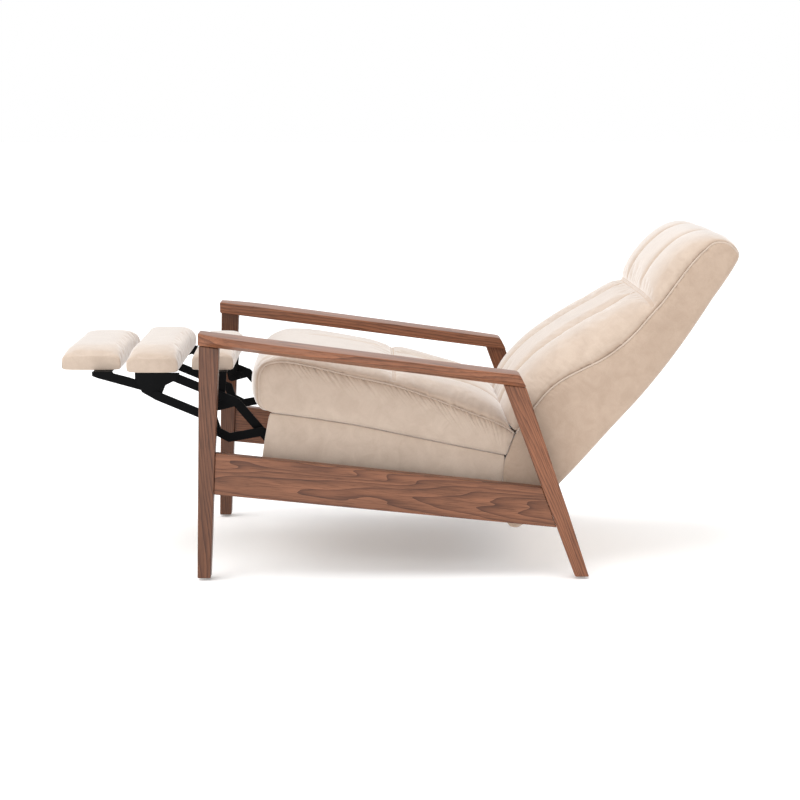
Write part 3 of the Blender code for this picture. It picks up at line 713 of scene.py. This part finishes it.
def side_panel(name, sign, sections, x_out, x_in, bulge, rows, columns, seed, gathers, painted_shade=0.0):
    """A padded panel in the side plane, from a lower to an upper line, with gathers at the upper.
    Its colour has painted shade along the upper line, more where the gathers are deeper, and
    painted shade all over as much as the last argument gives."""
    lines = smooth_path([np.ravel(s) for s in sections], rows)
    share = np.linspace(0, 1, columns)
    share = 0.4 * share + 0.6 * (0.5 - 0.5 * np.cos(np.pi * share))
    plane = lines[:, None, 0:2] + (lines[:, None, 2:4] - lines[:, None, 0:2]) * share[None, :, None]
    swell = (1 - np.abs(2 * share - 1) ** 5) ** 0.6
    ends = np.clip(np.minimum(np.arange(rows), np.arange(rows)[::-1]) / 6, 0, 1) ** 0.5
    edge = 0.0022
    x = x_out - edge + (edge + bulge) * swell[None, :] * (0.35 + 0.65 * ends[:, None])
    width = np.linalg.norm(lines[:, 2:4] - lines[:, 0:2], axis=1)
    from_upper = (1 - share)[None, :] * width[:, None]
    run = running_length(lines[:, 2:4])[:, None] + 0 * from_upper
    strength = np.interp(run / run.max(), *zip(*gathers))
    x = x + strength * folds(run, from_upper, seed, period=0.0085, reach=0.024)
    outer = np.dstack([sign * x, TOE_Y + plane[:, :, 0], plane[:, :, 1]])
    back = outer[:, [0, -1]].copy()
    back[:, :, 0] = sign * x_in
    rings = np.concatenate([back[:, :1], outer, back[:, 1:]], axis=1)
    panel = loft(name, rings, VELVET)
    # painted shade: darker along the upper line, more where the gathers are deeper, and all over by
    # the last argument
    seams = np.zeros(rings.shape[:2])
    seams[:, 1:-1] = np.exp(-from_upper / 0.012) * np.clip(0.25 + strength * 130, 0, 0.85)
    paint_seam_shade(panel, np.maximum(seams, painted_shade))
    return subdivide(panel)


BORDER_SEAM = [
    (0.176, 0.3870), (0.181, 0.3862), (0.190, 0.3848), (0.202, 0.3830), (0.218, 0.3806),
    (0.238, 0.3776), (0.266, 0.3732), (0.300, 0.3680), (0.375, 0.3555), (0.464, 0.3370),
    (0.563, 0.3160), (0.645, 0.2990), (0.692, 0.2895), (0.715, 0.2850), (0.727, 0.2826)]
BORDER_WELT = SEAT_WELT[:14] + SEAT_WELT[15:]
SEAT_LOWER = [
    ((0.147, 0.266), (0.168, 0.3868)), ((0.270, 0.248), (0.270, 0.3726)),
    ((0.368, 0.235), (0.368, 0.3567)), ((0.470, 0.222), (0.470, 0.3357)),
    ((0.563, 0.211), (0.563, 0.3160)), ((0.645, 0.202), (0.645, 0.2990)),
    ((0.716, 0.198), (0.727, 0.2824))]
BORDER_GATHERS = [      # (share of the way back, depth)
    (0.0, 0.0003), (0.16, 0.0016), (0.30, 0.0055), (0.45, 0.0050), (0.62, 0.0050),
    (0.75, 0.0075), (0.92, 0.0065), (1.0, 0.001)]


def seat_sides():
    for name, sign in SIDES:
        border = side_panel(
            "seat_border_" + name, sign, list(zip(BORDER_SEAM, BORDER_WELT)), x_out=PANEL_X,
            x_in=0.264, bulge=0.0065, rows=330, columns=36, seed=7.0 + sign, gathers=BORDER_GATHERS)
        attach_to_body(border, "seat")
        lower = side_panel(
            "seat_lower_panel_" + name, sign, SEAT_LOWER, x_out=0.2872, x_in=PANEL_INNER_X,
            bulge=0.0022, rows=90, columns=24, seed=11.0 + sign,
            gathers=[(0.0, 0.0003), (1.0, 0.0003)])
        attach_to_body(lower, "seat")
        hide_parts("seat_side_" + name)
        welt_cord("seat_welt_" + name, smooth_path(SEAT_WELT, 160), sign, "seat")


# ---------------------------------------------------------------- back
BACK_WELT = [
    (0.750, 0.336), (0.792, 0.396), (0.824, 0.435), (0.859, 0.463), (0.908, 0.489),
    (0.955, 0.513), (0.994, 0.541), (1.031, 0.576), (1.0575, 0.6072), (1.0746, 0.6267),
    (1.0931, 0.648), (1.129, 0.698), (1.161, 0.740), (1.186, 0.766), (1.209, 0.784),
    (1.237, 0.783), (1.258, 0.767), (1.266, 0.754)]
BACK_CREST = [back_point(*p) for p in (
    (0.040, 0.205), (0.106, 0.222), (0.155, 0.223), (0.203, 0.217), (0.255, 0.203), (0.303, 0.187),
    (0.350, 0.168), (0.397, 0.147), (0.446, 0.128), (0.476, 0.117), (0.500, 0.121), (0.552, 0.127),
    (0.608, 0.122), (0.648, 0.109), (0.681, 0.084), (0.698, 0.050), (0.700, 0.018), (0.692, 0.000))]
BACK_BASE = [back_point(*p) for p in (
    (0.080, 0.114), (0.112, 0.114), (0.157, 0.110), (0.200, 0.102), (0.250, 0.080), (0.299, 0.056),
    (0.345, 0.046), (0.395, 0.036), (0.448, 0.036), (0.475, 0.036), (0.500, 0.036), (0.552, 0.036),
    (0.600, 0.036), (0.630, 0.036), (0.655, 0.034), (0.666, 0.026), (0.668, 0.014), (0.668, 0.004))]
BACK_REAR = [
    (0.752, 0.1075), (0.765, 0.114), (0.800, 0.151), (0.853, 0.214), (0.882, 0.245),
    (0.911, 0.277), (0.940, 0.310), (0.970, 0.344), (1.000, 0.377), (1.030, 0.410),
    (1.058, 0.443), (1.085, 0.477), (1.110, 0.510), (1.135, 0.545), (1.160, 0.582),
    (1.184, 0.619), (1.206, 0.654), (1.228, 0.686), (1.248, 0.717), (1.261, 0.740), (1.266, 0.750)]
BACK_FRONT_EDGE = [(0.738, 0.1100), (0.730, 0.122), (0.721, 0.190), (0.722, 0.262), (0.737, 0.306)]
FOLD = (0.476, 0.117)       # (up, forward), where the head cushion meets the lumbar cushion
BACK_PAINTED_SHADE = 0.15         # painted shade: the front of the back is a little darker than the seat
SIDE_PAINTED_SHADE = 0.55         # and more painted shade on its sides
BACK_GATHERS = [            # (share of the way up, depth)
    (0.0, 0.0002), (0.2, 0.0016), (0.34, 0.0036), (0.5, 0.0014), (0.66, 0.0014), (0.74, 0.0038),
    (0.86, 0.0040), (0.96, 0.0014), (1.0, 0.0004)]


def back_cushion():
    fold_depth = back_point(*FOLD)[0]
    back = Cushion(list(zip(BACK_WELT, BACK_CREST, BACK_BASE)), 236, 104, fold_depth)
    # painted shade over the whole front of the back
    back.seams = np.maximum(back.seams, BACK_PAINTED_SHADE)
    fold = back.run_at(fold_depth)
    from_fold = back.run - fold
    channel = np.abs(back.x) - CHANNEL_X
    band = np.maximum(np.abs(from_fold) - 0.003, 0)
    hollow = np.maximum(dent(channel, 0.012, 0.010), dent(band, 0.012, 0.010))
    tight = np.interp(back.run / back.run.max(), [0, 0.15, 0.30, 0.45, 0.55, 0.62, 0.80, 1.0],
                      [0.0024, 0.0042, 0.0060, 0.0044, 0.0024, 0.0032, 0.0036, 0.0014])
    back.push(-hollow * np.clip(back.from_welt / 0.014, 0, 1))
    back.push(tight * folds(back.run, back.from_welt, seed=21.0))
    back.push(0.0005 * folds(back.x, np.abs(from_fold), 24.0, period=0.018, reach=0.018))
    back.push(0.0004 * folds(back.run, np.abs(channel), 27.0, period=0.018, reach=0.016))
    back.hold(from_fold, FLAT_SEAM)
    back.hold(channel, LONG_SEAM)
    piece, held = back.body("back_cushion_cover", VELVET)
    swelled(piece, held, pressure=0.5, growth=0.007, cap=0.004)
    finish_cushion(back, piece, "hinge", "back_cushion")
    for number, offset in enumerate((-STITCH_ASIDE, STITCH_ASIDE)):
        line, lift = back.row_line(fold + offset)
        stitches(f"back_fold_stitch_{number + 1}", line, lift, "back")


def back_sides():
    front = BACK_FRONT_EDGE + BACK_WELT[:9] + BACK_WELT[10:]
    rear = BACK_REAR + [(1.267, 0.7515)]
    sections = list(zip(rear, front))
    for name, sign in SIDES:
        side = side_panel(
            "back_side_cover_" + name, sign, sections, x_out=PANEL_X, x_in=PANEL_INNER_X,
            bulge=0.0040, rows=360, columns=40, seed=31.0 + sign, gathers=BACK_GATHERS,
            painted_shade=SIDE_PAINTED_SHADE)
        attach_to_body(side, "back")
        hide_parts("back_side_" + name)
        welt_cord("back_welt_" + name, smooth_path(BACK_WELT, 200), sign, "hinge")
        welt_cord("back_rear_seam_" + name, smooth_path(BACK_REAR, 160), sign, "back",
                  radius=0.0016, x=0.2835)


def rear_panel():
    """The outside back: a board under thin wadding, crowned a little between its edge seams."""
    rows, columns, thick, crown = 90, 41, 0.0075, 0.0030
    line = smooth_path(BACK_REAR + [back_point(0.690, -0.001)], rows)
    heading = np.gradient(line, axis=0)
    heading /= np.linalg.norm(heading, axis=1)[:, None]
    outwards = np.column_stack([heading[:, 1], -heading[:, 0]])
    share = np.linspace(-1, 1, columns)
    rise = crown * (1 - share ** 4)
    rings = []
    for i in range(rows):
        fade = min(1.0, i / 5, (rows - 1 - i) / 5)
        skin = line[i] + outwards[i] * (rise * fade - 0.0005)[:, None]
        inside = line[i] - outwards[i] * thick
        outer = [world(p, 0.2825 * s) for p, s in zip(skin, share)]
        inner = [world(inside, 0.2615), world(inside, -0.2615)]
        rings.append(outer + inner)
    panel = subdivide(loft("back_panel_cover", rings, VELVET))
    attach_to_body(panel, "back")
    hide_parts("back_panel")


# ---------------------------------------------------------------- footrest pads
PADS = (                        # (name, body, crown height, seed)
    ("outer", "flip", 0.053, 5.0), ("middle", "ottoman", 0.058, 9.0),
    ("inner", "inner_pad", 0.050, 13.0))
PAD_EDGE = 0.036                # the height of a pad at its ends
PAD_FILLET = 0.006
CORNER_SEAM = ((1.0, 0.003), (0.8, 0.012), (1.1, 0.020), (2.2, 0.026))  # (share of inset, height)
CORNER_INSET = 0.0023


def footrest_pad(name, body, crown, seed):
    """A stuffed pad pulled over its board: crowned on top, with a pinched seam at each corner."""
    low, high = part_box("footrest_pad_" + name)
    half, deep = high.x, (high.y - low.y) / 2
    middle, under = (low.y + high.y) / 2, low.z
    edge, fillet = PAD_EDGE, PAD_FILLET
    ends = [(half - fillet * (1 - math.cos(a)), fillet * (1 - math.sin(a)))
            for a in np.radians(np.linspace(3, 90, 8))]
    flat = np.linspace(-1, 1, 91)
    flat = 0.5 * flat + 0.5 * np.sin(np.pi / 2 * flat)
    stations = [(-x, inset) for x, inset in ends]
    stations += [(x * (half - fillet), 0.0) for x in flat[1:-1]]
    stations += list(reversed(ends))
    side = np.radians(np.linspace(0, 180, 45))
    side = side - 0.12 * np.sin(2 * side)
    rings = []
    for x, inset in stations:
        lift = 1 - min(abs(x) / half, 1.0) ** 7
        top, floor, a = edge + (crown - edge) * lift - inset * 0.5, 0.011, deep - inset
        across = -a * np.sign(np.cos(side)) * np.abs(np.cos(side)) ** 0.46
        height = floor + (top - floor) * np.sin(side).clip(0) ** 0.50
        ring = [(-a + 0.006, 0.0), (-a + 0.0015, 0.002), (-a, 0.006)] + list(zip(across, height))
        ring += [(a, 0.006), (a - 0.0015, 0.002), (a - 0.006, 0.0)]
        rings.append([(x, middle + p, under + z - 0.0002) for p, z in ring])
    rings = np.array(rings)
    wrinkle = np.zeros(rings.shape[:2])
    for index in np.ndindex(wrinkle.shape):
        x, y, z = rings[index]
        near_end = max(0.0, half - abs(x))
        near_side = max(0.0, deep - abs(y - middle))
        at_corner = math.exp(-math.hypot(near_end, near_side) / 0.022)
        at_side = math.exp(-near_side / 0.018) * 0.35
        wave = noise.noise(Vector((x * 60, (y - middle) * 60, seed + z * 20)))
        wrinkle[index] = (0.0022 * at_corner + 0.0016 * at_side) * wave * (z - under > 0.010)
    centre = np.array([0, middle, under + 0.02])
    outwards = rings - centre
    outwards[:, :, 0] *= 0.25
    outwards /= np.linalg.norm(outwards, axis=2)[:, :, None]
    rings = rings + outwards * wrinkle[:, :, None]
    pad = loft("footrest_cover_" + name, rings, VELVET, 60)
    held = (rings[:, :, 2] < under + 0.010).astype(float)
    held[[0, -1]] = 1.0
    swelled(pad, held.ravel(), pressure=0.7, growth=0.006, cap=0.003)
    subdivide(pad)
    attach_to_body(pad, body)
    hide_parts("footrest_pad_" + name)
    for side_name, sign in SIDES:
        for place, back in (("front", -1), ("rear", 1)):
            line = []
            for share, height in CORNER_SEAM:
                inset = CORNER_INSET * share
                line.append((sign * (half - inset), middle + back * (deep - inset), under + height))
            line = smooth_path(line, 14)
            seam = tube(f"footrest_seam_{name}_{place}_{side_name}", line, 0.0012, VELVET, 6)
            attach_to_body(seam, body)


# ---------------------------------------------------------------- timber
LEG_OUT = 0.360
ARM_FRONT, ARM_REAR = 0.010, 0.757      # depths
ARM_TOP = 0.584                         # at the front
ARM_SLOPE = 0.131
ARM_THICK = 0.0285
ARM_LIP = 0.015


def arm(name, sign):
    """A paddle: straight inside, bulging outside, its lower edge undercut back to the legs."""
    low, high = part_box("arm_" + name)
    inner = min(abs(low.x), abs(high.x))
    front, rear_end, front_top = ARM_FRONT, ARM_REAR, ARM_TOP
    bulge = smooth_path([
        (0.0, 0.0), (0.06, 0.024), (0.13, 0.036), (0.30, 0.0385), (0.5, 0.034), (0.70, 0.029),
        (0.875, 0.023), (1.0, 0.010)], 120)
    stations = np.concatenate([
        [0, 0.0012, 0.003], np.linspace(0.006, 0.985, 90), [0.991, 0.996, 1.0]])
    rings = []
    for t in stations:
        out = LEG_OUT + np.interp(t, bulge[:, 0], bulge[:, 1])
        depth = front + t * (rear_end - front)
        under_depth = depth + 0.010 * max(0.0, (t - 0.93) / 0.07)
        top = front_top - ARM_SLOPE * (depth - front)
        drop = 0.006 * max(0.0, (t - 0.984) / 0.016) ** 2
        end = 0.0022 * (1 - min(1.0, t / 0.003, (1 - t) / 0.005)) ** 2
        top -= drop + end
        bottom = front_top - ARM_SLOPE * (under_depth - front) - ARM_THICK + end
        lip = max(top - ARM_LIP, bottom + 0.006)
        outline = [
            ((inner, under_depth, bottom), 0.0022), ((LEG_OUT, under_depth, bottom), 0.0015),
            ((out - end, (under_depth + depth) / 2, lip), 0.004), ((out - end, depth, top), 0.0030),
            ((inner, depth, top), 0.0022)]
        rings.append(rounded_ring(outline, sign))
    look = walnut_look("walnut_arm_" + name, -math.atan(ARM_SLOPE), (sign * 0.30, 0.38, 0.36),
                       rings=34.0, seed=2.0 + sign, tone=1.3)
    piece = loft("arm_rest_" + name, rings, look, 60)
    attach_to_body(piece, "frame")
    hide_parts("arm_" + name)


def rounded_ring(outline, sign, steps=4):
    """A closed section of (x, depth, height) corners, each rounded by its own radius."""
    ring = []
    corners = [np.array(p) for p, _ in outline]
    for i, (corner, (_, radius)) in enumerate(zip(corners, outline)):
        before, after = corners[i - 1], corners[(i + 1) % len(corners)]
        into = (corner - before) / np.linalg.norm(corner - before)
        away = (after - corner) / np.linalg.norm(after - corner)
        for share in np.linspace(0, 1, steps + 1):
            a, b = corner - into * radius, corner + away * radius
            p = (1 - share) ** 2 * a + 2 * share * (1 - share) * corner + share ** 2 * b
            ring.append(world((p[1], p[2]), sign * p[0]))
    return ring


def timber():
    """Walnut on the legs and rails, with the grain along each piece."""
    nodes = frame["nodes"]
    for name, sign in SIDES:
        arm(name, sign)
        paint(nodes["front_leg_" + name], walnut_look(
            "walnut_front_leg_" + name, math.radians(91.2), (sign * 0.335, 0.095, 0.30),
            rings=46.0, seed=4.0 + sign, tone=0.70))
        paint(nodes["rear_leg_" + name], walnut_look(
            "walnut_rear_leg_" + name, math.radians(-69.5), (sign * 0.325, 0.72, 0.20),
            rings=50.0, seed=8.0 + sign, tone=1.25))
        paint(nodes["side_rail_" + name], walnut_look(
            "walnut_side_rail_" + name, math.radians(-5.4), (sign * 0.305, 0.46, 0.195),
            rings=46.0, seed=6.0 + sign))
    across = walnut_look("walnut_cross_rail", 0.0, (0.0, 0.30, 0.30), rings=30.0, seed=3.0)
    for name in ("front_cross_rail", "rear_cross_rail"):
        paint(nodes[name], across)


def paint(piece, look):
    for index in range(len(piece.material_slots)):
        piece.material_slots[index].material = look


def paint_the_rest():
    """Materials for the CAD nodes that stay as they are."""
    looks = {
        "base_angle": BLACK_STEEL, "side_plate": BLACK_STEEL, "hinge_plate": BLACK_STEEL,
        "mechanism_cross_tube": BLACK_STEEL, "lift_link": BLACK_STEEL, "crank": BLACK_STEEL,
        "lower_link": BLACK_STEEL, "upper_front_link": BLACK_STEEL, "upper_rear_link": BLACK_STEEL,
        "ottoman_bracket": BLACK_STEEL, "flip_arm": BLACK_STEEL, "inner_pad_bracket": BLACK_STEEL,
        "seat_pivot_pin": SPRING_STEEL, "seat_spring": SPRING_STEEL, "glide": GLIDE_PLASTIC,
        "seat_front_rail": PLYWOOD, "seat_rear_rail": PLYWOOD, "back_top_rail": PLYWOOD,
        "back_bottom_rail": PLYWOOD, "footrest_board": PLYWOOD, "back_webbing": WEBBING}
    for node_name, node in frame["nodes"].items():
        for start, look in looks.items():
            if node_name.startswith(start):
                paint(node, look)


build_stage()
timber()
paint_the_rest()
seat_cushion()
seat_sides()
back_cushion()
back_sides()
rear_panel()
for pad in PADS:
    footrest_pad(*pad)
